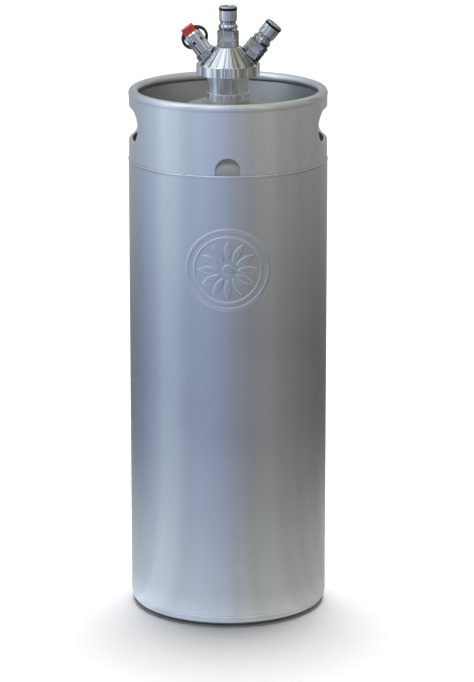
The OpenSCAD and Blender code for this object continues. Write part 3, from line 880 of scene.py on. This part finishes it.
def studio_floor():
    """A wide plain pale floor."""
    mesh = bpy.data.meshes.new("floor")
    corners = [(x * FLOOR_HALF, y * FLOOR_HALF, 0) for x, y in ((-1, -1), (1, -1), (1, 1), (-1, 1))]
    mesh.from_pydata(corners, [], [(0, 1, 2, 3)])
    floor = link(mesh, "floor")
    material, nodes, shader = new_material("floor_paint")
    tone = nodes.noise(0.8, EVEN, 2.0, 0.5)
    nodes.set(shader.inputs["Base Color"], nodes.mix(tone, grey(0.93), grey(0.95)))
    shader.inputs["Roughness"].default_value = 0.9
    shader.inputs["Specular IOR Level"].default_value = 0.1
    mesh.materials.append(material)


def tent_material():
    """The tent's light: its colour goes by side, its brightness by height, with upright streaks."""
    material = bpy.data.materials.new("tent_light")
    material.use_nodes = True
    material.node_tree.nodes.clear()
    nodes = Nodes(material.node_tree)
    place = nodes.add("SeparateXYZ", {0: nodes.add("TexCoord").outputs["Object"]}).outputs
    flat = nodes.add("CombineXYZ", {0: place[0], 1: place[1]}).outputs[0]

    facing = nodes.math("ARCTAN2", place[0], nodes.math("MULTIPLY", place[1], -1.0))
    turn = nodes.range(facing, -math.pi, math.pi, 0.0, 1.0)
    colour = nodes.ramp(turn, [((degrees + 180) / 360, shade) for degrees, shade in TENT_SIDES])

    # Height plus distance from the axis, so it grows out over the floor and up the side, and falls
    # back towards the middle of the roof; a ramp clamps at 1, so its levels are shares of the top
    reach = nodes.add("VectorMath", {0: flat}, operation="LENGTH").outputs["Value"]
    height = nodes.range(nodes.math("ADD", place[2], reach), 0.1, TENT_R + TENT_H, 0.0, 1.0)
    top = TENT_LIFTS[-1][1]
    shades = [(spot, (level / top, level / top, level**0.9 / top)) for spot, level in TENT_LIFTS]
    lift = nodes.ramp(height, shades)

    round_way = nodes.add("VectorMath", {0: flat}, operation="NORMALIZE").outputs[0]
    streaks = nodes.range(nodes.noise_over(round_way, 5.0, 5.0, 0.7), 0.35, 0.65, -1.0, 1.0)
    streaks = nodes.math("MULTIPLY", streaks, nodes.range(height, 0.42, 0.8, 0.12, 1.1))
    streaks = nodes.math("MAXIMUM", nodes.math("ADD", streaks, 1.0), 0.05)

    even = nodes.ramp(height, [(spot, (share,) * 3) for spot, share in TENT_EVENS])
    colour = nodes.mix(even, colour, TENT_EVEN_COLOUR)
    level = nodes.add("VectorMath", {0: colour, 1: lift}, operation="MULTIPLY").outputs[0]
    strength = nodes.math("MULTIPLY", streaks, top)
    glow = nodes.add("Emission", {"Color": level, "Strength": strength})
    nodes.add("OutputMaterial", {"Surface": glow.outputs[0]})
    return material


def light_tent():
    """A closed tent of soft panels that only reflections see: cool on the left, dim on the right."""
    sides = 96
    rings = ((TENT_HOLE_R, TENT_FLOOR_Z), (TENT_R, TENT_FLOOR_Z), (TENT_R, TENT_H),
             (TENT_HOLE_R, TENT_H))
    verts = [(r * math.cos(a), r * math.sin(a), z) for r, z in rings for a in even_angles(sides)]
    mesh = bpy.data.meshes.new("light_tent")
    mesh.from_pydata(verts, [], grid_faces(len(rings), sides))
    mesh.materials.append(tent_material())
    tent = link(mesh, "light_tent")
    tent.visible_camera = False
    tent.visible_diffuse = False
    tent.visible_shadow = False
    tent.visible_transmission = False


def soft_sun():
    """A wide overhead light from behind; it casts the soft shadow and isn't seen in reflections."""
    light = bpy.data.lights.new("soft_sun", "SUN")
    light.angle = math.radians(40)
    light.energy = 4.0
    sun = link(light, "soft_sun")
    sun.rotation_euler = (math.radians(-15), 0, 0)
    sun.visible_glossy = False


def pale_sky():
    """A faint even light from all round."""
    world = bpy.data.worlds.new("studio")
    world.use_nodes = True
    sky = world.node_tree.nodes["Background"]
    sky.inputs["Color"].default_value = (1.0, 1.0, 1.0, 1.0)
    sky.inputs["Strength"].default_value = 0.05
    bpy.context.scene.world = world


def front_camera():
    """A long lens from the front, above the keg and looking slightly down."""
    camera = bpy.data.cameras.new("camera")
    camera.lens = 182.1
    camera.clip_start = 0.1
    camera.clip_end = 60
    eye = link(camera, "camera")
    eye.location = (8.3 * MM, -3.168, 1.080)
    eye.rotation_euler = (math.radians(90 - 14.6), 0, 0)
    bpy.context.scene.camera = eye


def studio():
    """Floor, light tent, sun, sky and the camera."""
    studio_floor()
    light_tent()
    soft_sun()
    pale_sky()
    front_camera()
    bpy.context.scene.view_settings.view_transform = "Standard"


body_wall()
vessel_ends()
collar()
tack_welds()
neck()
springs()
split_ring()
finish_cad_nodes()
studio()
